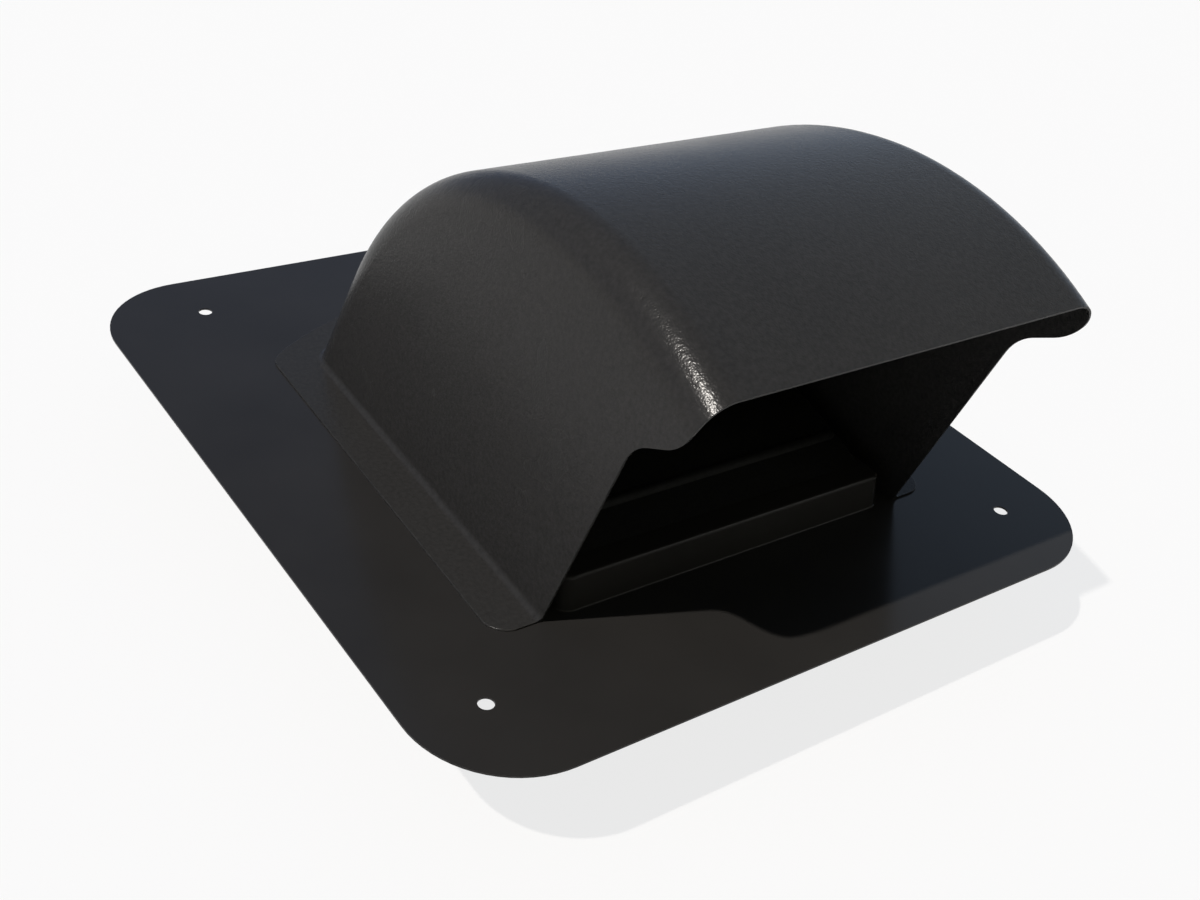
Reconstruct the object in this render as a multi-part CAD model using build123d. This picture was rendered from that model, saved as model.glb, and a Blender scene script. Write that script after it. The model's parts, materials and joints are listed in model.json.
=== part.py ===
from build123d import *
import os
from math import acos, atan2, cos, hypot, radians, sin, sqrt, tan

# Roof vent: a drawn hood on a pressed flashing, over a damper flap that falls shut by its own weight.
# Millimetres. The origin is where the duct's axis crosses the roof plane, the underside of the flashing.
# +Z points up off the roof and -Y points downhill, the way the hood's mouth faces.

# Flashing plate
SHEET = 0.8
PLATE_WIDTH = 304.8
PLATE_DEPTH = 330.2
PLATE_CORNER_R = 40.0
NAIL_HOLE_R = 2.9
FRONT_NAIL_SPACING = 247.6
FRONT_NAIL_INSET = 36.0
BACK_NAIL_SPACING = 216.4
BACK_NAIL_INSET = 28.5

# Hood: arched top in side view, back foot on an arc in plan, sides with a taper in plan and a draft
HOOD_CREST = 143.7
ARCH_R = 162.0
HOOD_BACK_CLEAR = 5.7
BACK_RUN_OUT = 28.0
CORNER_RUN_OUT = 4.5
HOOD_HALF_WIDTH = 83.1
SIDE_TAPER = 1.9
SIDE_DRAFT = 0.7
HOOD_EDGE_R = 13.0
HOOD_FOOT_R = 2.5
FLANGE_SIDE = 18.7
FLANGE_BACK = 15.0
FLANGE_FRONT_CORNER_R = 9.5
FLANGE_BACK_CORNER_R = 11.0
FLANGE_RIM_R = 0.4

# Mouth of the hood: foot, notch, chin and lip of its trimmed edge in side view
MOUTH_FOOT_Y = -103.8
LIP_Y = -161.8
CHIN_SETBACK = 4.2
CHIN_DROP = 16.7
CHIN_R = 22.0
NOTCH_SETBACK = 23.1
NOTCH_DROP = 12.6
NOTCH_R = 20.0

# Deck pressed up out of the flashing, which the damper flap lies on
DECK_BACK_MARGIN = 10.7
DECK_HEIGHT = 14.0
DECK_SIDE_CLEAR = 1.5
DECK_DRAFT = 8.0
DECK_CORNER_R = 6.0
DECK_EDGE_R = 1.4
DECK_FOOT_R = 0.8

# Duct collar
COLLAR_R = 50.3
COLLAR_WALL = 0.6
COLLAR_DEPTH = 50.0
COLLAR_FLANGE = 11.0
COLLAR_BEND_R = 2.0
COLLAR_RIVETS = 4

# Damper flap and its hinge
FLAP_SHEET = 0.6
FLAP_SEAT_GAP = 0.3
FLAP_SIDE_LAND = 1.1
FLAP_FRONT_SETBACK = 11.8
FLAP_FRONT_RISE = 20.0
FLAP_BEND_R = 2.5
FLAP_ROLL_R = 6.5
FLAP_ROLL_END = -60.0
BEAD_R = 2.6
BEAD_DEPTH = 1.0
BEAD_SETBACK = 16.0
BEAD_END_MARGIN = 5.0
HINGE_SETBACK = 12.0
ROD_R = 1.5
ROD_CAP_R = 3.0
ROD_CAP_LENGTH = 2.2
ROD_CAP_WALL = 0.6

# Hinge brackets and bushes
BRACKET_SHEET = 1.2
BRACKET_FOOT_WIDTH = 16.0
BRACKET_FOOT_DEPTH = 17.0
BRACKET_FOOT_SETBACK = 8.0
BRACKET_EAR_R = 4.6
BRACKET_BEND_R = 0.8
BUSH_R = 2.2
BUSH_FLANGE_R = 3.4
BUSH_FLANGE = 0.7
BUSH_TAIL = 0.9
BUSH_SIDE_CLEAR = 0.3
ROD_CLEAR = 0.05
ROLL_CLEAR = 0.5

# Blind rivets
RIVET_R = 1.6
RIVET_HEAD_R = 3.2
RIVET_HEAD = 1.1
RIVET_TAIL_R = 2.3
RIVET_TAIL = 2.2

# Sections that the hood's form is drawn through, and the reach of forms and cuts past what they make
SECTION_COUNT = 7
PAST = 20.0

# Values that follow from the sizes above
PLATE_TOP = SHEET
DECK_TOP = SHEET + DECK_HEIGHT
DECK_UNDER = DECK_TOP - SHEET
TAPER_RUN = tan(radians(SIDE_TAPER))
DRAFT_RUN = tan(radians(SIDE_DRAFT))
DECK_BACK = COLLAR_R + COLLAR_FLANGE + DECK_BACK_MARGIN
ARCH_Z = HOOD_CREST - ARCH_R
ARCH_FOOT_Y = DECK_BACK + HOOD_BACK_CLEAR
HOOD_CREST_Y = ARCH_FOOT_Y - sqrt(ARCH_R ** 2 - (PLATE_TOP - ARCH_Z) ** 2)
FORM_FRONT_Y = LIP_Y - PAST


def hood_half_width(y):
    """Half width of the hood's outside at its foot, at one place along the hood."""
    return HOOD_HALF_WIDTH - TAPER_RUN * y


# The back foot's arc passes the arch's own foot by the run-outs at the middle and at the corners
BACK_HALF_WIDTH = hood_half_width(ARCH_FOOT_Y)
BACK_BULGE = BACK_RUN_OUT - CORNER_RUN_OUT
BACK_ARC_R = (BACK_HALF_WIDTH ** 2 + BACK_BULGE ** 2) / (2 * BACK_BULGE)
BACK_ARC_Y = ARCH_FOOT_Y + BACK_RUN_OUT - BACK_ARC_R

DECK_HALF_WIDTH = hood_half_width(DECK_BACK) - SHEET - DECK_SIDE_CLEAR
DECK_TOP_HALF_WIDTH = DECK_HALF_WIDTH - DECK_HEIGHT * tan(radians(DECK_DRAFT))
FLAP_HALF_WIDTH = DECK_TOP_HALF_WIDTH - DECK_EDGE_R - FLAP_SIDE_LAND
FLAP_INNER_HALF = FLAP_HALF_WIDTH - FLAP_SHEET
FLAP_BOTTOM = DECK_TOP + FLAP_SEAT_GAP
FLAP_FRONT_Y = MOUTH_FOOT_Y + FLAP_FRONT_SETBACK
HINGE_Y = DECK_BACK - HINGE_SETBACK
HINGE_Z = FLAP_BOTTOM + FLAP_ROLL_R
EAR_OUTER_X = FLAP_INNER_HALF - BUSH_SIDE_CLEAR - BUSH_FLANGE
EAR_INNER_X = EAR_OUTER_X - BRACKET_SHEET
FOOT_BACK_Y = HINGE_Y - BRACKET_FOOT_SETBACK
FOOT_FRONT_Y = FOOT_BACK_Y - BRACKET_FOOT_DEPTH
COLLAR_RIVET_R = COLLAR_R + COLLAR_FLANGE / 2
COLLAR_INNER_R = COLLAR_R - COLLAR_WALL


def across(profile, half_width):
    """Solid made by pushing a side-view profile across the vent, the same way to both sides."""
    return extrude(Plane.YZ * profile, amount=half_width, both=True)


def along_hinge(profile):
    """Solid turned about the hinge axis from a profile of X against radius, on the right."""
    return revolve(Pos(0, HINGE_Y, HINGE_Z) * profile, Axis((0, HINGE_Y, HINGE_Z), (1, 0, 0)))


def mirrored(solid):
    """The left piece of a pair whose right piece is given."""
    return mirror(solid, about=Plane.YZ)


# Hood


def hood_section(x, inset, foot_z):
    """Side-view section of the hood's form at one X: the arch, then a straight run tangent to it down the back.

    The straight run meets the flashing on the back foot's arc, so the back is rounded in plan at its foot and
    straight across where it joins the arch.
    """
    arch_r = ARCH_R - inset
    run_z = PLATE_TOP - ARCH_Z
    arch_foot_y = HOOD_CREST_Y + sqrt(arch_r ** 2 - run_z ** 2)
    foot_y = max(BACK_ARC_Y + sqrt((BACK_ARC_R - inset) ** 2 - x ** 2), arch_foot_y + SHEET)
    run_y = foot_y - HOOD_CREST_Y
    tangent = atan2(run_z, run_y) + acos(arch_r / hypot(run_y, run_z))
    shoulder = (HOOD_CREST_Y + arch_r * cos(tangent), ARCH_Z + arch_r * sin(tangent))
    low_y = foot_y + (PLATE_TOP - foot_z) * tan(tangent)
    front = (FORM_FRONT_Y, ARCH_Z + sqrt(arch_r ** 2 - (FORM_FRONT_Y - HOOD_CREST_Y) ** 2))
    arch = ThreePointArc(front, (HOOD_CREST_Y, ARCH_Z + arch_r), shoulder)
    rest = Polyline(shoulder, (low_y, foot_z), (FORM_FRONT_Y, foot_z), front)
    return Plane.YZ.offset(x) * make_face(arch + rest)


def hood_form(inset, foot_z):
    """Solid that fills the hood, inset from its outside, with its long edges rounded."""
    reach = hood_half_width(FORM_FRONT_Y) + PAST / 4
    steps = [reach * (2 * i / (SECTION_COUNT - 1) - 1) for i in range(SECTION_COUNT)]
    form = loft([hood_section(x, inset, foot_z) for x in steps])
    for side in (1, -1):
        wall = Plane(
            origin=(side * (HOOD_HALF_WIDTH - inset), 0, PLATE_TOP),
            z_dir=(side, TAPER_RUN, DRAFT_RUN),
        )
        form = split(form, bisect_by=wall, keep=Keep.BOTTOM)
    long_edges = [
        edge
        for edge in form.edges()
        if abs(edge.center().X) > HOOD_HALF_WIDTH / 2
        and edge.center().Z > foot_z + HOOD_EDGE_R
        and edge.center().Y > FORM_FRONT_Y + HOOD_EDGE_R
    ]
    return fillet(long_edges, HOOD_EDGE_R - inset)


def flange_outline(front_y):
    """Plan of the hood's flange back from one line: tapered sides, and an arc with rounded corners at the back."""
    back_y = BACK_ARC_Y + BACK_ARC_R + FLANGE_BACK + PAST
    front_half = hood_half_width(front_y) + FLANGE_SIDE
    back_half = hood_half_width(back_y) + FLANGE_SIDE
    corners = [(-front_half, front_y), (front_half, front_y), (back_half, back_y), (-back_half, back_y)]
    sides = make_face(Polyline(*corners, close=True))
    arc_r = BACK_ARC_R + FLANGE_BACK
    before_arc = Pos(0, BACK_ARC_Y - PLATE_DEPTH / 2) * Rectangle(2 * arc_r, PLATE_DEPTH)
    outline = sides & (Pos(0, BACK_ARC_Y) * Circle(arc_r) + before_arc)
    back_corners = [v for v in outline.vertices() if v.Y > BACK_ARC_Y and abs(v.X) > FLANGE_SIDE]
    return fillet(back_corners, FLANGE_BACK_CORNER_R)


def mouth_cut():
    """Body in front of the hood's trimmed edge: foot, notch, chin and lip seen from the side."""
    lip_z = ARCH_Z + sqrt(ARCH_R ** 2 - (LIP_Y - HOOD_CREST_Y) ** 2)
    chin = (LIP_Y + CHIN_SETBACK, lip_z - CHIN_DROP)
    notch = (chin[0] + NOTCH_SETBACK, chin[1] - NOTCH_DROP)
    foot_z = PLATE_TOP + SHEET
    lean = (notch[0] - MOUTH_FOOT_Y) / (notch[1] - foot_z)
    low = (MOUTH_FOOT_Y - lean * (foot_z + PAST), -PAST)
    high = (LIP_Y - CHIN_SETBACK * PAST / CHIN_DROP, lip_z + PAST)
    front_y = FORM_FRONT_Y - PAST
    region = make_face(Polyline(low, notch, chin, high, (front_y, high[1]), (front_y, low[1]), close=True))
    region = fillet(region.vertices().sort_by_distance(notch)[0], NOTCH_R)
    region = fillet(region.vertices().sort_by_distance(chin)[0], CHIN_R)
    return across(region, PLATE_WIDTH)


def make_hood():
    """Drawn hood: shell of one sheet with a flange on the flashing, rounded at its foot, trimmed at the mouth."""
    outside = hood_form(0, PLATE_TOP)
    inside = hood_form(SHEET, PLATE_TOP - PAST)
    run_out = flange_outline(FORM_FRONT_Y)
    outline = flange_outline(MOUTH_FOOT_Y)
    outline = fillet(outline.vertices().group_by(Axis.Y)[0], FLANGE_FRONT_CORNER_R)
    hood = (outside + Pos(0, 0, PLATE_TOP) * extrude(run_out, amount=SHEET)) - inside
    crease = [
        edge
        for edge in hood.edges()
        if abs(edge.center().Z - PLATE_TOP - SHEET) < SHEET / 4
        and edge.distance_to(outside) < SHEET / 8
        and edge.center().Y > FORM_FRONT_Y + SHEET
    ]
    hood = fillet(crease, HOOD_FOOT_R)
    hood -= Pos(0, 0, PLATE_TOP) * extrude(run_out - outline, amount=SHEET)
    hood -= mouth_cut()
    rim = [
        edge
        for edge in hood.edges()
        if abs(edge.center().Z - PLATE_TOP - SHEET) < SHEET / 8
        and edge.distance_to(outside) > FLANGE_BACK / 2
    ]
    return fillet(rim, FLANGE_RIM_R)


# Flashing


def rivet_places():
    """Places of the collar's rivets round the duct, and of the right bracket's rivets in its foot."""
    turn = 360 / COLLAR_RIVETS
    round_collar = [
        (COLLAR_RIVET_R * cos(radians(turn * (i + 0.5))), COLLAR_RIVET_R * sin(radians(turn * (i + 0.5))))
        for i in range(COLLAR_RIVETS)
    ]
    foot_x = EAR_OUTER_X - BRACKET_SHEET - (BRACKET_FOOT_WIDTH - BRACKET_SHEET) / 2
    quarter = BRACKET_FOOT_DEPTH / 4
    in_foot = [(foot_x, FOOT_FRONT_Y + quarter), (foot_x, FOOT_BACK_Y - quarter)]
    return round_collar, in_foot


def deck_block(inset, low, high):
    """Tapered block of the deck between two heights, inset from the deck's outside."""
    spread = (PLATE_TOP - low) * tan(radians(DECK_DRAFT))
    half = DECK_HALF_WIDTH + spread - inset
    front = MOUTH_FOOT_Y - spread + inset
    back = DECK_BACK + spread - inset
    plan = RectangleRounded(2 * half, back - front, DECK_CORNER_R - inset)
    block = extrude(Pos(0, (front + back) / 2, low) * plan, amount=high - low, taper=DECK_DRAFT)
    top_edges = block.faces().sort_by(Axis.Z)[-1].edges()
    return fillet(top_edges, DECK_EDGE_R - inset)


def make_flashing():
    """Flashing sheet with its nail holes, and the deck pressed up round the duct hole."""
    plate = extrude(RectangleRounded(PLATE_WIDTH, PLATE_DEPTH, PLATE_CORNER_R), amount=SHEET)
    sheet = plate + deck_block(0, PLATE_TOP, DECK_TOP)
    step_foot = [
        edge
        for edge in sheet.edges()
        if abs(edge.center().Z - PLATE_TOP) < SHEET / 4
        and abs(edge.center().X) < DECK_HALF_WIDTH + SHEET
        and MOUTH_FOOT_Y - SHEET < edge.center().Y < DECK_BACK + SHEET
    ]
    sheet = fillet(step_foot, DECK_FOOT_R)
    sheet -= deck_block(SHEET, 0, DECK_UNDER)
    sheet -= Cylinder(COLLAR_INNER_R, 2 * (DECK_TOP + SHEET))
    front_y = -PLATE_DEPTH / 2 + FRONT_NAIL_INSET
    back_y = PLATE_DEPTH / 2 - BACK_NAIL_INSET
    nail = Cylinder(NAIL_HOLE_R, 4 * SHEET)
    for side in (-0.5, 0.5):
        sheet -= Pos(side * FRONT_NAIL_SPACING, front_y) * nail
        sheet -= Pos(side * BACK_NAIL_SPACING, back_y) * nail
    round_collar, in_foot = rivet_places()
    rivet_hole = Cylinder(RIVET_R, 4 * SHEET)
    for x, y in round_collar + in_foot + [(-x, y) for x, y in in_foot]:
        sheet -= Pos(x, y, DECK_TOP - SHEET / 2) * rivet_hole
    return sheet


# Duct collar and rivets


def make_collar():
    """Round stub below the deck, with its top end turned out into a flange under the deck."""
    tube = Pos(0, 0, DECK_UNDER) * Cylinder(
        COLLAR_R, DECK_UNDER + COLLAR_DEPTH, align=(Align.CENTER, Align.CENTER, Align.MAX)
    )
    flange = Pos(0, 0, DECK_UNDER) * Cylinder(
        COLLAR_R + COLLAR_FLANGE, COLLAR_WALL, align=(Align.CENTER, Align.CENTER, Align.MAX)
    )
    collar = tube + flange
    bend = [
        edge
        for edge in collar.edges().filter_by(GeomType.CIRCLE)
        if abs(edge.radius - COLLAR_R) < COLLAR_WALL and edge.center().Z > 0
    ]
    collar = fillet(bend, COLLAR_BEND_R)
    collar -= Cylinder(COLLAR_INNER_R, 4 * COLLAR_DEPTH)
    for x, y in rivet_places()[0]:
        collar -= Pos(x, y, DECK_UNDER) * Cylinder(RIVET_R, 4 * COLLAR_WALL)
    return collar


def make_rivet(seat_z, grip):
    """Blind rivet with a domed head on its seat and a swelled tail under the sheets that it grips."""
    head_top = seat_z + RIVET_HEAD
    tail_top = seat_z - grip
    tail_end = tail_top - RIVET_TAIL
    dome_r = (RIVET_HEAD_R ** 2 + RIVET_HEAD ** 2) / (2 * RIVET_HEAD)
    half_way = RIVET_HEAD_R / 2
    dome_z = head_top - dome_r + sqrt(dome_r ** 2 - half_way ** 2)
    dome = ThreePointArc((RIVET_HEAD_R, seat_z), (half_way, dome_z), (0, head_top))
    tail = ThreePointArc((RIVET_R, tail_end), (RIVET_TAIL_R, tail_end + RIVET_TAIL / 2), (RIVET_R, tail_top))
    axis_side = Polyline((0, head_top), (0, tail_end), (RIVET_R, tail_end))
    shank = Polyline((RIVET_R, tail_top), (RIVET_R, seat_z), (RIVET_HEAD_R, seat_z))
    outline = dome + axis_side + tail + shank
    return revolve(Plane.XZ * make_face(outline), Axis.Z)


def make_collar_rivets():
    """Rivets through the deck and the collar's flange."""
    rivet = make_rivet(DECK_TOP, SHEET + COLLAR_WALL)
    return Compound(children=[Pos(x, y) * rivet for x, y in rivet_places()[0]])


def make_bracket_rivets():
    """Rivets through the feet of both hinge brackets and the deck."""
    rivet = make_rivet(DECK_TOP + BRACKET_SHEET, BRACKET_SHEET + SHEET)
    right = rivet_places()[1]
    return Compound(children=[Pos(x, y) * rivet for x, y in right + [(-x, y) for x, y in right]])


# Damper flap


def flap_arch():
    """Radius and centre of the flap's arch.

    It leaves the front edge at the front rise and runs tangent into the roll round the hinge rod.
    """
    rise = radians(FLAP_FRONT_RISE)
    reach = HINGE_Y - FLAP_FRONT_Y
    lift = HINGE_Z - FLAP_BOTTOM
    radius = (reach ** 2 + lift ** 2 - FLAP_ROLL_R ** 2) / (
        2 * (reach * sin(rise) - lift * cos(rise) - FLAP_ROLL_R)
    )
    return radius, FLAP_FRONT_Y + radius * sin(rise), FLAP_BOTTOM - radius * cos(rise)


def flap_top(y, inset):
    """Height of the flap's arch at one place along it, inset from its outside."""
    radius, centre_y, centre_z = flap_arch()
    return centre_z + sqrt((radius - inset) ** 2 - (y - centre_y) ** 2)


def flap_profile(inset, low_z):
    """Side-view profile of the flap's arch and the roll at its back edge, inset from its outside."""
    radius, centre_y, centre_z = flap_arch()
    arch_r = radius - inset
    roll_r = FLAP_ROLL_R - inset
    lean = atan2(HINGE_Z - centre_z, HINGE_Y - centre_y)
    join = (HINGE_Y + roll_r * cos(lean), HINGE_Z + roll_r * sin(lean))
    front = (centre_y - sqrt(arch_r ** 2 - (low_z - centre_z) ** 2), low_z)
    arch = ThreePointArc(front, (centre_y, centre_z + arch_r), join)
    return arch, join, front, roll_r


def bead(radius):
    """Round-ended bar that makes the flap's pressed bead."""
    y = FLAP_FRONT_Y + BEAD_SETBACK
    z = flap_top(y, BEAD_DEPTH)
    half = FLAP_HALF_WIDTH - BEAD_END_MARGIN
    bar = Pos(0, y, z) * Rot(0, 90, 0) * Cylinder(radius, 2 * half)
    for side in (-1, 1):
        bar += Pos(side * half, y, z) * Sphere(radius)
    return bar


def make_flap():
    """Curved flap of one sheet: arch, turned-down sides with hinge ears, pressed bead and rolled back edge."""
    arch, join, front, roll_r = flap_profile(0, FLAP_BOTTOM)
    roll = ThreePointArc(join, (HINGE_Y + roll_r, HINGE_Z), (HINGE_Y, FLAP_BOTTOM))
    outside = across(make_face(arch + roll + Line((HINGE_Y, FLAP_BOTTOM), front)), FLAP_HALF_WIDTH)
    bends = [
        edge
        for edge in outside.edges()
        if abs(edge.center().X) > FLAP_HALF_WIDTH / 2 and edge.center().Z > FLAP_BOTTOM + FLAP_ROLL_R
        and edge.length > 2 * FLAP_ROLL_R
    ]
    outside = fillet(bends, FLAP_BEND_R) + bead(BEAD_R)

    below = FLAP_BOTTOM - PAST
    arch, join, front, roll_r = flap_profile(FLAP_SHEET, FLAP_BOTTOM - FLAP_SHEET)
    end = radians(FLAP_ROLL_END)
    roll_end = (HINGE_Y + roll_r * cos(end), HINGE_Z + roll_r * sin(end))
    lip_end = (HINGE_Y + 2 * FLAP_ROLL_R * cos(end), HINGE_Z + 2 * FLAP_ROLL_R * sin(end))
    roll = ThreePointArc(join, (HINGE_Y + roll_r, HINGE_Z), roll_end)
    hollow = make_face(
        arch + roll + Polyline(roll_end, lip_end, (lip_end[0], below), (front[0], below), front)
    )
    inside = across(hollow, FLAP_INNER_HALF)
    bends = [
        edge
        for edge in inside.edges()
        if abs(edge.center().X) > FLAP_HALF_WIDTH / 2 and edge.center().Z > FLAP_BOTTOM + FLAP_ROLL_R
        and edge.length > 2 * FLAP_ROLL_R
    ]
    inside = fillet(bends, FLAP_BEND_R - FLAP_SHEET) + bead(BEAD_R - FLAP_SHEET)
    flap = outside - inside

    relief_low_x = EAR_INNER_X - ROLL_CLEAR
    relief_top = HINGE_Z + FLAP_ROLL_R / 4
    relief = Pos((relief_low_x + FLAP_INNER_HALF) / 2, HINGE_Y + PAST / 4, relief_top) * Box(
        FLAP_INNER_HALF - relief_low_x, PAST, PAST, align=(Align.CENTER, Align.CENTER, Align.MAX)
    )
    flap -= relief
    flap -= mirrored(relief)
    flap -= Pos(0, HINGE_Y, HINGE_Z) * Rot(0, 90, 0) * Cylinder(ROD_R, 4 * FLAP_HALF_WIDTH)
    return flap


# Hinge


def make_rod():
    """Hinge rod through both sides of the flap, with eased ends."""
    half = FLAP_HALF_WIDTH + ROD_CAP_LENGTH - ROD_CAP_WALL
    rod = Pos(0, HINGE_Y, HINGE_Z) * Rot(0, 90, 0) * Cylinder(ROD_R, 2 * half)
    return chamfer(rod.edges().filter_by(GeomType.CIRCLE), ROD_R / 5)


def make_rod_cap():
    """Push-on cap on the rod's right end, against the flap's side."""
    inner = FLAP_HALF_WIDTH
    rod_end = inner + ROD_CAP_LENGTH - ROD_CAP_WALL
    outer = inner + ROD_CAP_LENGTH
    outline = Polyline(
        (inner, ROD_R),
        (inner, ROD_CAP_R),
        (outer, ROD_CAP_R),
        (outer, 0),
        (rod_end, 0),
        (rod_end, ROD_R),
        close=True,
    )
    face = make_face(outline)
    face = fillet(face.vertices().sort_by_distance((outer, ROD_CAP_R))[0], ROD_CAP_LENGTH / 2)
    return along_hinge(face)


def make_bush():
    """Flanged bush in the right bracket's ear, with its flange facing the flap's side."""
    bore = ROD_R + ROD_CLEAR
    tail_x = EAR_INNER_X - BUSH_TAIL
    flange_x = EAR_OUTER_X + BUSH_FLANGE
    outline = Polyline(
        (tail_x, bore),
        (tail_x, BUSH_R),
        (EAR_OUTER_X, BUSH_R),
        (EAR_OUTER_X, BUSH_FLANGE_R),
        (flange_x, BUSH_FLANGE_R),
        (flange_x, bore),
        close=True,
    )
    return along_hinge(make_face(outline))


def make_bracket():
    """Right hinge bracket: a foot riveted to the deck and an ear that stands up to the hinge axis."""
    ear_face = make_face(
        Polyline(
            (FOOT_FRONT_Y, DECK_TOP),
            (HINGE_Y + BRACKET_EAR_R, DECK_TOP),
            (HINGE_Y + BRACKET_EAR_R, HINGE_Z),
            (HINGE_Y - BRACKET_EAR_R, HINGE_Z),
            (FOOT_FRONT_Y, DECK_TOP + BRACKET_SHEET),
            close=True,
        )
    ) + Pos(HINGE_Y, HINGE_Z) * Circle(BRACKET_EAR_R)
    ear = extrude(Plane.YZ.offset(EAR_INNER_X) * ear_face, amount=BRACKET_SHEET)
    foot = Pos(EAR_OUTER_X, FOOT_FRONT_Y, DECK_TOP) * Box(
        BRACKET_FOOT_WIDTH, BRACKET_FOOT_DEPTH, BRACKET_SHEET, align=(Align.MAX, Align.MIN, Align.MIN)
    )
    inner_corners = [
        edge
        for edge in foot.edges().filter_by(Axis.Z)
        if edge.center().X < EAR_OUTER_X - BRACKET_SHEET
    ]
    foot = fillet(inner_corners, RIVET_HEAD_R)
    bracket = ear + foot
    inner_bend = [
        edge
        for edge in bracket.edges().filter_by(Axis.Y)
        if abs(edge.center().X - EAR_INNER_X) < BRACKET_SHEET / 8
        and abs(edge.center().Z - DECK_TOP - BRACKET_SHEET) < BRACKET_SHEET / 8
    ]
    bracket = fillet(inner_bend, BRACKET_BEND_R)
    bracket -= Pos(EAR_INNER_X, HINGE_Y, HINGE_Z) * Rot(0, 90, 0) * Cylinder(BUSH_R, 4 * BRACKET_SHEET)
    for x, y in rivet_places()[1]:
        bracket -= Pos(x, y, DECK_TOP) * Cylinder(RIVET_R, 4 * BRACKET_SHEET)
    return bracket


def main():
    """Build every piece and write one file for each."""
    bracket = make_bracket()
    bush = make_bush()
    cap = make_rod_cap()
    pieces = {
        "flashing": make_flashing(),
        "hood": make_hood(),
        "duct_collar": make_collar(),
        "collar_rivets": make_collar_rivets(),
        "damper_flap": make_flap(),
        "hinge_rod": make_rod(),
        "rod_cap_right": cap,
        "rod_cap_left": mirrored(cap),
        "hinge_bush_right": bush,
        "hinge_bush_left": mirrored(bush),
        "hinge_bracket_right": bracket,
        "hinge_bracket_left": mirrored(bracket),
        "bracket_rivets": make_bracket_rivets(),
    }
    os.makedirs("parts", exist_ok=True)
    for name, piece in pieces.items():
        export_step(piece, os.path.join("parts", name + ".step"))


main()
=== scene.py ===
"""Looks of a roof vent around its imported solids: finishes, floor, light and camera.

Metres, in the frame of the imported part: the duct's axis crosses the roof plane at the origin,
+Z points up off the roof and -Y points downhill, the way the hood's mouth faces. Every shape of
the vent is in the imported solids, so nothing is added to them here but their finishes.
"""

import json
import logging
from dataclasses import dataclass
from enum import Enum
from typing import Any

import bpy
from mathutils import Matrix, Vector

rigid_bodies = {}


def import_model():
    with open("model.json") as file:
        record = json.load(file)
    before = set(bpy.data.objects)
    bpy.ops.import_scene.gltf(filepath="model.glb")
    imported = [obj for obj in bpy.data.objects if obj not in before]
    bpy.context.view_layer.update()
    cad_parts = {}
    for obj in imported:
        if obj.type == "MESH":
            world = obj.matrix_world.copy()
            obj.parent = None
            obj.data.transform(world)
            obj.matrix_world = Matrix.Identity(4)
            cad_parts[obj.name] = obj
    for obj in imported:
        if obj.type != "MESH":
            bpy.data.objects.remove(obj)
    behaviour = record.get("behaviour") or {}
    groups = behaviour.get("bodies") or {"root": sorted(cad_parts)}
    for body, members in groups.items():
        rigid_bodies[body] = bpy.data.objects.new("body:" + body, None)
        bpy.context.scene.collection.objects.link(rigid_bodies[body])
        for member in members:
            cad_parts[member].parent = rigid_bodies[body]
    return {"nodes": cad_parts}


Colour = tuple[float, float, float]
Place = tuple[float, float, float]
Direction = tuple[float, float, float]
Span = tuple[float, float]

WHITE: Colour = (1.0, 1.0, 1.0)
PATTERN_MIDDLE = 0.5
MIXED_COLOUR = 2  # output of a Mix node that gives a colour
SUN_DIRECTION: Direction = (-0.5637, -0.065, 0.8234)
GLINT_DIRECTION: Direction = (-0.5637, -0.115, 0.8234)
EDGE_DIRECTION: Direction = (0.593, -0.575, 0.55)
log = logging.getLogger("roof_vent")


class Slot(Enum):
    """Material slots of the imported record."""

    PLATE = "plate_coat"
    HOOD = "hood_coat"
    FLAP = "flap_coat"
    ZINC = "zinc_sheet"
    RIVET = "rivet_metal"
    ROD = "rod_steel"
    BUSH = "bush_plastic"


class Ray(Enum):
    """Kinds of ray that see a white studio."""

    CAMERA = "Is Camera Ray"
    GLOSSY = "Is Glossy Ray"
    CLEAR = "Is Transmission Ray"


class Cells(Enum):
    """Cell patterns, each with what is measured in a cell and the output that gives it."""

    ROUNDED = ("SMOOTH_F1", "Distance")
    FLAKES = ("F1", "Color")


class Value:
    """A node's output socket, on which Python's operators add Math nodes."""

    def __init__(self, graph: "NodeGraph", socket: bpy.types.NodeSocket) -> None:
        """Keep the socket and the graph that it belongs to."""
        self.graph = graph
        self.socket = socket

    def _math(self, operation: str, first: Any, second: Any) -> "Value":
        """Add one Math node.

        Args:
            operation: Blender's name of the operation.
            first: A value or number for the first socket.
            second: A value or number for the second socket.

        Returns:
            The result of the operation.
        """
        return self.graph.node("ShaderNodeMath", {"operation": operation}, {0: first, 1: second})

    def __add__(self, other: Any) -> "Value":
        """Sum of this value and another."""
        return self._math("ADD", self, other)

    def __radd__(self, other: Any) -> "Value":
        """Sum of a number and this value."""
        return self._math("ADD", other, self)

    def __sub__(self, other: Any) -> "Value":
        """This value less another."""
        return self._math("SUBTRACT", self, other)

    def __rsub__(self, other: Any) -> "Value":
        """A number less this value."""
        return self._math("SUBTRACT", other, self)

    def __mul__(self, other: Any) -> "Value":
        """Product of this value and another."""
        return self._math("MULTIPLY", self, other)

    def __rmul__(self, other: Any) -> "Value":
        """Product of a number and this value."""
        return self._math("MULTIPLY", other, self)

    def __or__(self, other: "Value") -> "Value":
        """The greater of two masks."""
        return self._math("MAXIMUM", self, other)


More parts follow.
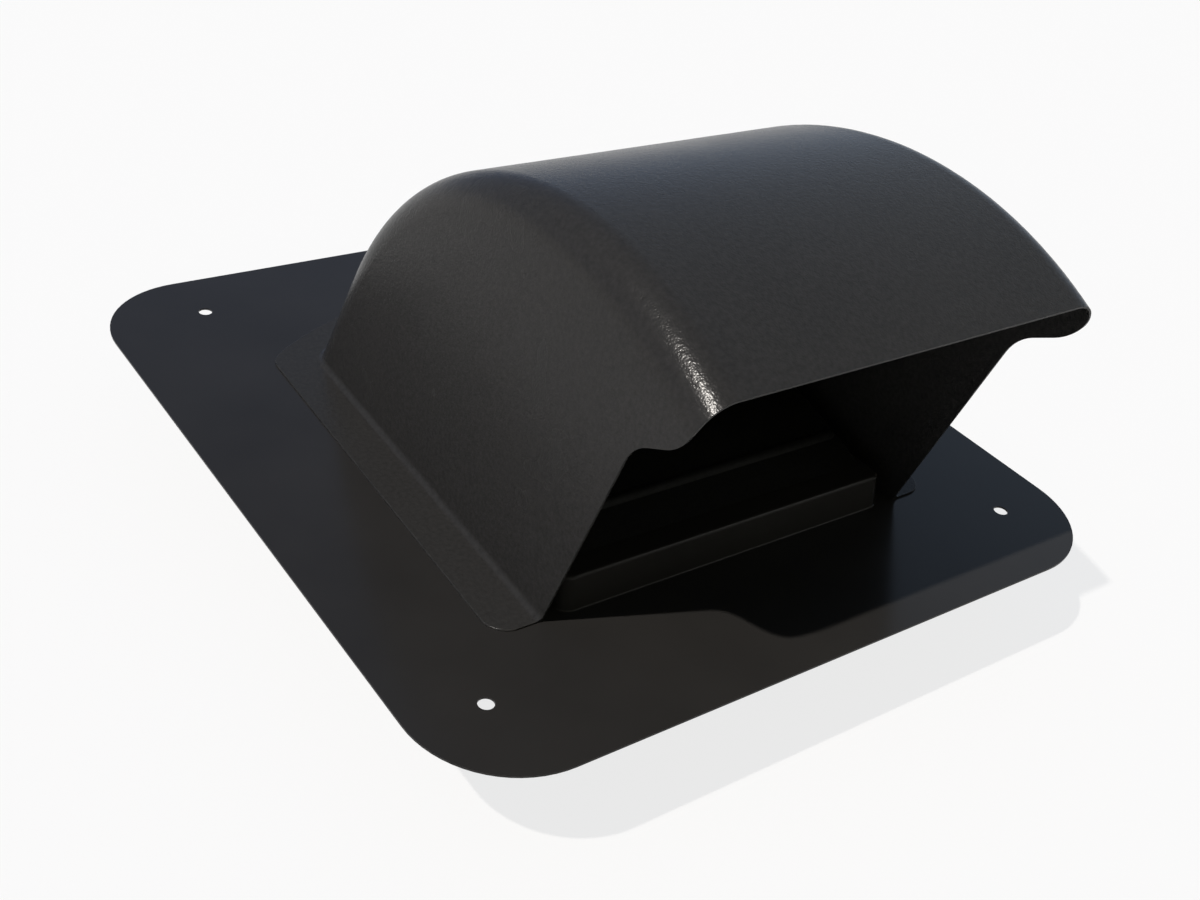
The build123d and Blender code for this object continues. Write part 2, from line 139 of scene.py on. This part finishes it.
class NodeGraph:
    """A node tree that is filled through one node-making method."""

    def __init__(self, tree: bpy.types.NodeTree) -> None:
        """Start with an empty tree."""
        self.tree = tree
        self.tree.nodes.clear()

    def node(
        self,
        kind: str,
        settings: dict[str, Any] | None = None,
        sockets: dict[str | int, Any] | None = None,
        output: str | int = 0,
    ) -> Value:
        """Add one node.

        Args:
            kind: Blender's type name of the node.
            settings: Properties of the node, set first.
            sockets: Numbers, colours or values for its inputs, by name or place.
            output: The output to return.

        Returns:
            The chosen output, or the first input of a node that has no outputs.
        """
        made = self.tree.nodes.new(kind)
        for name, setting in (settings or {}).items():
            setattr(made, name, setting)
        for key, given in (sockets or {}).items():
            if isinstance(given, Value):
                self.tree.links.new(given.socket, made.inputs[key])
            else:
                made.inputs[key].default_value = given
        return Value(self, made.outputs[output] if made.outputs else made.inputs[0])

    def object_place(self) -> Value:
        """Place on the piece, in metres of the shared frame."""
        return self.node("ShaderNodeTexCoord", output="Object")

    def noise(self, place: Value, size: float, detail: float = 2.0) -> Value:
        """Soft noise from 0 to 1.

        Args:
            place: Where to read it.
            size: Size of its features in metres.
            detail: Levels of finer noise in it.

        Returns:
            The noise.
        """
        sockets = {"Vector": place, "Scale": 1.0 / size, "Detail": detail}
        return self.node("ShaderNodeTexNoise", {}, sockets, "Fac")

    def cells(self, place: Value, size: float, pattern: Cells) -> Value:
        """Cell pattern.

        Args:
            place: Where to read it.
            size: Size of a cell in metres.
            pattern: Which pattern it is.

        Returns:
            The pattern's own output.
        """
        feature, output = pattern.value
        sockets = {"Vector": place, "Scale": 1.0 / size}
        return self.node("ShaderNodeTexVoronoi", {"feature": feature}, sockets, output)

    def bump(self, height: Value, distance: float, strength: float) -> Value:
        """Normal of a surface with a fine relief.

        Args:
            height: The relief.
            distance: Its height in metres where the relief is 1.
            strength: Share of it that shows.

        Returns:
            The normal.
        """
        sockets = {"Strength": strength, "Distance": distance, "Height": height}
        return self.node("ShaderNodeBump", {}, sockets)

    def blend(self, share: Value, low: Any, high: Any) -> Value:
        """Mix two colours.

        Args:
            share: Share of the second colour.
            low: Colour at share 0.
            high: Colour at share 1.

        Returns:
            The mixed colour.
        """
        sockets = {"Factor": share, "A": low, "B": high}
        return self.node("ShaderNodeMix", {"data_type": "RGBA"}, sockets, MIXED_COLOUR)

    def turn(self, vector: Value, axis: str, span: Span) -> Value:
        """Share from 0 to 1 that follows one part of a vector.

        Args:
            vector: The vector.
            axis: Letter of the part.
            span: The part's values at share 0 and at share 1.

        Returns:
            The share.
        """
        part = self.node("ShaderNodeSeparateXYZ", {}, {"Vector": vector}, axis)
        sockets = {"Value": part, "From Min": span[0], "From Max": span[1]}
        return self.node("ShaderNodeMapRange", {}, sockets)

    def ray(self, kind: Ray) -> Value:
        """Mask of the rays of one kind."""
        return self.node("ShaderNodeLightPath", output=kind.value)

    def white_rays(self) -> Value:
        """Mask of the rays from the camera, from gloss and through glass."""
        return self.ray(Ray.CAMERA) | self.ray(Ray.GLOSSY) | self.ray(Ray.CLEAR)


def shaded(colour: Colour, factor: float = 1.0) -> tuple[float, float, float, float]:
    """A colour made lighter or darker.

    Args:
        colour: The colour.
        factor: What to multiply it by.

    Returns:
        The colour with an alpha of 1.
    """
    return (*(channel * factor for channel in colour), 1.0)


def about_one(swing: float) -> Span:
    """Factors that lie a swing below and above 1."""
    return 1.0 - swing, 1.0 + swing


@dataclass(frozen=True)
class Finish:
    """A finish that every piece of one material slot shares.

    The subclasses say what their surface looks like.
    """

    slot: Slot
    colour: Colour
    roughness: float

    def material(self) -> bpy.types.Material:
        """Make the finish's material.

        Returns:
            The material, with its nodes.
        """
        made = bpy.data.materials.new(self.slot.value + "_finish")
        made.use_nodes = True
        made.diffuse_color = shaded(self.colour)
        graph = NodeGraph(made.node_tree)
        sockets = self.surface(graph, graph.object_place())
        surface = graph.node("ShaderNodeBsdfPrincipled", {}, sockets)
        graph.node("ShaderNodeOutputMaterial", {}, {"Surface": surface})
        return made

    def surface(self, graph: NodeGraph, place: Value) -> dict[str, Any]:
        """Say what feeds the shader.

        Args:
            graph: The material's nodes.
            place: Place on the piece.

        Returns:
            Sockets of the shader and what feeds them.
        """
        raise NotImplementedError

    def toned(self, graph: NodeGraph, pattern: Value, tones: Span) -> Value:
        """The finish's colour, darker and lighter by a pattern.

        Args:
            graph: The material's nodes.
            pattern: The pattern, from 0 to 1.
            tones: Factors on the colour where the pattern is 0 and 1.

        Returns:
            The colour.
        """
        dark, light = (shaded(self.colour, factor) for factor in tones)
        return graph.blend(pattern, dark, light)

    def roughened(self, pattern: Value, swing: float) -> Value:
        """The finish's roughness, with a pattern that swings about it.

        Args:
            pattern: The pattern, from 0 to 1.
            swing: Roughness between the pattern's ends.

        Returns:
            The roughness.
        """
        return self.roughness + (pattern - PATTERN_MIDDLE) * swing


@dataclass(frozen=True)
class PowderCoat(Finish):
    """Black powder coat: a film with a fine leather grain, small waves and cloudy tones."""

    specular: float = 0.06
    grain_size: float = 0.0007
    grain_height: float = 0.00009
    grain_strength: float = 0.9
    grain_tone: float = 0.8
    wave_size: float = 0.0017
    wave_share: float = 1.2
    cloud_size: float = 0.05
    cloud_detail: float = 3.0
    roughness_swing: float = 0.1
    colour_swing: float = 0.4

    def surface(self, graph: NodeGraph, place: Value) -> dict[str, Any]:
        """Grain, waves and cloudy tones of the coat.

        Args:
            graph: The material's nodes.
            place: Place on the piece.

        Returns:
            Sockets of the shader and what feeds them.
        """
        clouds = graph.noise(place, self.cloud_size, self.cloud_detail)
        grain = graph.cells(place, self.grain_size, Cells.ROUNDED)
        waves = graph.noise(place, self.wave_size)
        tone = waves * self.grain_tone + clouds * (1.0 - self.grain_tone)
        relief = grain + waves * self.wave_share
        return {
            "Base Color": self.toned(graph, tone, about_one(self.colour_swing)),
            "Roughness": self.roughened(clouds, self.roughness_swing),
            "Specular IOR Level": self.specular,
            "Normal": graph.bump(relief, self.grain_height, self.grain_strength),
        }


@dataclass(frozen=True)
class ZincSheet(Finish):
    """Zinc-coated sheet: crystal flakes of different greys over fine rolling lines."""

    flake_size: float = 0.004
    flake_swing: float = 0.09
    line_size: float = 0.0006
    line_height: float = 0.00001
    line_strength: float = 0.3

    def surface(self, graph: NodeGraph, place: Value) -> dict[str, Any]:
        """Flakes and rolling lines of the zinc.

        Args:
            graph: The material's nodes.
            place: Place on the piece.

        Returns:
            Sockets of the shader and what feeds them.
        """
        crystals = graph.cells(place, self.flake_size, Cells.FLAKES)
        flake = graph.node("ShaderNodeSeparateColor", {}, {"Color": crystals})
        lines = graph.noise(place, self.line_size)
        return {
            "Base Color": self.toned(graph, flake, about_one(self.flake_swing)),
            "Roughness": self.roughened(flake, self.flake_swing),
            "Metallic": 1.0,
            "Normal": graph.bump(lines, self.line_height, self.line_strength),
        }


@dataclass(frozen=True)
class BareMetal(Finish):
    """Plain bright metal with fine scuffs."""

    scuff_size: float = 0.0008
    scuff_detail: float = 4.0
    scuff_swing: float = 0.2

    def surface(self, graph: NodeGraph, place: Value) -> dict[str, Any]:
        """Scuffed bright metal.

        Args:
            graph: The material's nodes.
            place: Place on the piece.

        Returns:
            Sockets of the shader and what feeds them.
        """
        scuffs = graph.noise(place, self.scuff_size, self.scuff_detail)
        return {
            "Base Color": self.toned(graph, scuffs, about_one(self.scuff_swing)),
            "Roughness": self.roughened(scuffs, self.scuff_swing),
            "Metallic": 1.0,
        }


@dataclass(frozen=True)
class MouldedPlastic(Finish):
    """Natural plastic with a fine mould texture."""

    grain_size: float = 0.0003
    grain_height: float = 0.00002
    grain_strength: float = 0.3
    grain_tones: Span = (0.94, 1.04)
    roughness_swing: float = 0.1
    scatter: float = 0.15

    def surface(self, graph: NodeGraph, place: Value) -> dict[str, Any]:
        """Slightly milky plastic with a fine texture.

        Args:
            graph: The material's nodes.
            place: Place on the piece.

        Returns:
            Sockets of the shader and what feeds them.
        """
        grain = graph.noise(place, self.grain_size)
        return {
            "Base Color": self.toned(graph, grain, self.grain_tones),
            "Roughness": self.roughened(grain, self.roughness_swing),
            "Subsurface Weight": self.scatter,
            "Normal": graph.bump(grain, self.grain_height, self.grain_strength),
        }


HOOD_COAT = PowderCoat(Slot.HOOD, (0.0302, 0.0295, 0.0287), 0.26, specular=0.055)
PLATE_COAT = PowderCoat(
    Slot.PLATE,
    (0.0252, 0.0241, 0.023),
    0.2,
    specular=0.1,
    grain_size=0.0018,
    grain_strength=0.05,
    grain_tone=0.0,
    wave_size=0.012,
    roughness_swing=0.05,
    colour_swing=0.2,
)
FLAP_COAT = PowderCoat(Slot.FLAP, (0.012, 0.012, 0.0115), 0.55, grain_strength=0.15)
ZINC = ZincSheet(Slot.ZINC, (0.55, 0.56, 0.57), 0.38)
RIVET_METAL = BareMetal(Slot.RIVET, (0.7, 0.7, 0.71), 0.35)
ROD_STEEL = BareMetal(Slot.ROD, (0.5, 0.5, 0.5), 0.28)
NYLON = MouldedPlastic(Slot.BUSH, (0.8, 0.78, 0.72), 0.5)


@dataclass
class SubAssembly:
    """CAD nodes that are dressed together.

    The subclasses say which finish each of their nodes has.
    """

    def finishes(self) -> dict[str, Finish]:
        """Finish of each node, by the node's name."""
        raise NotImplementedError

    def dress(
        self, nodes: dict[str, bpy.types.Object], made: dict[Slot, bpy.types.Material]
    ) -> None:
        """Give each node the material of its finish.

        Args:
            nodes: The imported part's nodes by name.
            made: Materials that are made already, which this adds to.
        """
        for name, finish in self.finishes().items():
            material = made.get(finish.slot)
            if material is None:
                material = made[finish.slot] = finish.material()
            for place in nodes[name].material_slots:
                place.material = material
            log.info("dressed %s in %s", name, finish.slot.value)


@dataclass
class Housing(SubAssembly):
    """Drawn hood and the flashing that it stands on."""

    hood_coat: Finish = HOOD_COAT
    plate_coat: Finish = PLATE_COAT

    def finishes(self) -> dict[str, Finish]:
        """Grained coat on the hood, smooth coat on the flashing."""
        return {"hood": self.hood_coat, "flashing": self.plate_coat}


@dataclass
class Damper(SubAssembly):
    """Flap with the capped rod that it swings on."""

    flap_coat: Finish = FLAP_COAT
    steel: Finish = ROD_STEEL

    def finishes(self) -> dict[str, Finish]:
        """Satin coat on the flap, bright steel on the rod and its caps."""
        return {
            "damper_flap": self.flap_coat,
            "hinge_rod": self.steel,
            "rod_cap_left": self.steel,
            "rod_cap_right": self.steel,
        }


@dataclass
class HingeSupports(SubAssembly):
    """Riveted brackets with the bushes that the rod turns in."""

    zinc: Finish = ZINC
    nylon: Finish = NYLON
    rivet_metal: Finish = RIVET_METAL

    def finishes(self) -> dict[str, Finish]:
        """Zinc on the brackets, nylon on the bushes, plain metal on the rivets."""
        return {
            "hinge_bracket_left": self.zinc,
            "hinge_bracket_right": self.zinc,
            "hinge_bush_left": self.nylon,
            "hinge_bush_right": self.nylon,
            "bracket_rivets": self.rivet_metal,
        }


@dataclass
class DuctFitting(SubAssembly):
    """Duct collar under the flashing, with its rivets."""

    zinc: Finish = ZINC
    rivet_metal: Finish = RIVET_METAL

    def finishes(self) -> dict[str, Finish]:
        """Zinc on the collar, plain metal on the rivets."""
        return {"duct_collar": self.zinc, "collar_rivets": self.rivet_metal}


@dataclass(frozen=True)
class Lamp:
    """Distant lamp, with its strength in watts per square metre and its width as an angle.

    Its direction points from the vent to the lamp.
    """

    name: str
    direction: Direction
    strength: float
    colour: Colour = (1.0, 0.95, 0.89)
    angle: float = 0.017
    gloss_only: bool = True

    def build(self) -> None:
        """Hang the lamp."""
        bpy.ops.object.light_add(type="SUN")
        lamp = bpy.context.object
        lamp.name = self.name
        lamp.rotation_euler = Vector(self.direction).to_track_quat("Z", "Y").to_euler()
        lamp.data.color = self.colour
        lamp.data.angle = self.angle
        lamp.data.energy = self.strength
        lamp.visible_diffuse = not self.gloss_only
        log.info("hung %s", self.name)


@dataclass
class Studio:
    """Floor, light and camera round the vent.

    The floor's glow is the share of plain white that the camera and gloss see on it. The sky's
    share is its strength for soft light. Its colour turns from back to right along world X, and
    to a neutral grey in front along world Y, over the spans that are given.
    """

    floor_z: float = -0.05
    floor_size: float = 12.0
    floor_colour: Colour = (0.86, 0.86, 0.86)
    floor_roughness: float = 0.9
    floor_glow: float = 0.8
    sky_share: float = 0.46
    sky_back: Colour = (0.2, 0.3, 0.52)
    sky_right: Colour = (0.66, 0.8, 1.0)
    sky_front: Colour = (0.39, 0.39, 0.32)
    right_turn: Span = (0.4, 0.8)
    front_turn: Span = (-0.05, -0.45)
    key_light: Lamp = Lamp("key_light", SUN_DIRECTION, 3.0, gloss_only=False)
    glint_light: Lamp = Lamp("glint_light", GLINT_DIRECTION, 13.0)
    edge_light: Lamp = Lamp("edge_light", EDGE_DIRECTION, 0.16, WHITE, angle=0.25)
    camera_place: Place = (-0.3268, -0.4057, 0.3316)
    camera_right: Direction = (0.8128, -0.5666, 0.1352)
    camera_up: Direction = (0.2275, 0.5224, 0.8218)
    camera_back: Direction = (-0.5363, -0.6372, 0.5535)
    camera_near: float = 0.01
    lens_mm: float = 43.85
    sensor_mm: float = 36.0

    def floor_paint(self) -> bpy.types.Material:
        """Pale matt paint that looks nearly white to the camera and in gloss.

        Returns:
            The paint's material.
        """
        paint = bpy.data.materials.new("floor_paint")
        paint.use_nodes = True
        graph = NodeGraph(paint.node_tree)
        sockets = {
            "Base Color": shaded(self.floor_colour),
            "Roughness": self.floor_roughness,
            "Specular IOR Level": 0.0,
        }
        matt = graph.node("ShaderNodeBsdfPrincipled", {}, sockets)
        glow = graph.node("ShaderNodeEmission", {}, {"Strength": 1.0})
        share = graph.white_rays() * self.floor_glow
        mixed = graph.node("ShaderNodeMixShader", {}, {0: share, 1: matt, 2: glow})
        graph.node("ShaderNodeOutputMaterial", {}, {"Surface": mixed})
        return paint

    def build_floor(self) -> None:
        """Pale floor under the collar's rim, which keeps the vent's shadow."""
        place = (0.0, 0.0, self.floor_z)
        bpy.ops.mesh.primitive_plane_add(size=self.floor_size, location=place)
        floor = bpy.context.object
        floor.name = "floor"
        bpy.ops.object.transform_apply(location=True, rotation=True, scale=True)
        floor.data.materials.append(self.floor_paint())
        log.info("laid the floor")

    def build_sky(self) -> None:
        """World that lights the vent softly and is white to the camera."""
        world = bpy.data.worlds.new("studio")
        bpy.context.scene.world = world
        world.use_nodes = True
        graph = NodeGraph(world.node_tree)
        direction = graph.node("ShaderNodeTexCoord", output="Generated")
        to_right = graph.turn(direction, "X", self.right_turn)
        to_front = graph.turn(direction, "Y", self.front_turn)
        behind = graph.blend(to_right, shaded(self.sky_back), shaded(self.sky_right))
        sky = graph.blend(to_front, behind, shaded(self.sky_front))
        colour = graph.blend(graph.ray(Ray.CAMERA), sky, shaded(WHITE))
        strength = self.sky_share + graph.white_rays() * (1.0 - self.sky_share)
        light = graph.node("ShaderNodeBackground", {}, {"Color": colour, "Strength": strength})
        graph.node("ShaderNodeOutputWorld", {}, {"Surface": light})
        log.info("set the sky")

    def build_lamps(self) -> None:
        """Key light from the upper left, and two lights that add gloss alone.

        One stands with the key and sparkles on the hood's edge. The other is weak, comes from the
        front right and draws the deck's bent edges in the dark mouth.
        """
        for lamp in (self.key_light, self.glint_light, self.edge_light):
            lamp.build()

    def build_camera(self) -> None:
        """Camera at the photograph's place."""
        columns = Matrix((self.camera_right, self.camera_up, self.camera_back)).transposed()
        bpy.ops.object.camera_add()
        camera = bpy.context.object
        camera.name = "camera"
        camera.matrix_world = Matrix.Translation(self.camera_place) @ columns.to_4x4()
        camera.data.lens = self.lens_mm
        camera.data.sensor_width = self.sensor_mm
        camera.data.clip_start = self.camera_near
        bpy.context.scene.camera = camera
        log.info("placed the camera")

    def build(self) -> None:
        """Floor, light and camera, with colours shown as they are written."""
        self.build_floor()
        self.build_sky()
        self.build_lamps()
        self.build_camera()
        bpy.context.scene.view_settings.view_transform = "Standard"


def clear_scene() -> None:
    """Remove what Blender starts with."""
    for left_over in list(bpy.data.objects):
        bpy.data.objects.remove(left_over)


def main() -> None:
    """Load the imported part, dress it and set the studio."""
    logging.basicConfig(level=logging.INFO, format="%(name)s: %(message)s")
    clear_scene()
    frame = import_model()
    bpy.ops.object.select_all(action="DESELECT")
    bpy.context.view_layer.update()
    materials: dict[Slot, bpy.types.Material] = {}
    for assembly in (Housing(), Damper(), HingeSupports(), DuctFitting()):
        assembly.dress(frame["nodes"], materials)
    Studio().build()


if __name__ == "__main__":
    main()
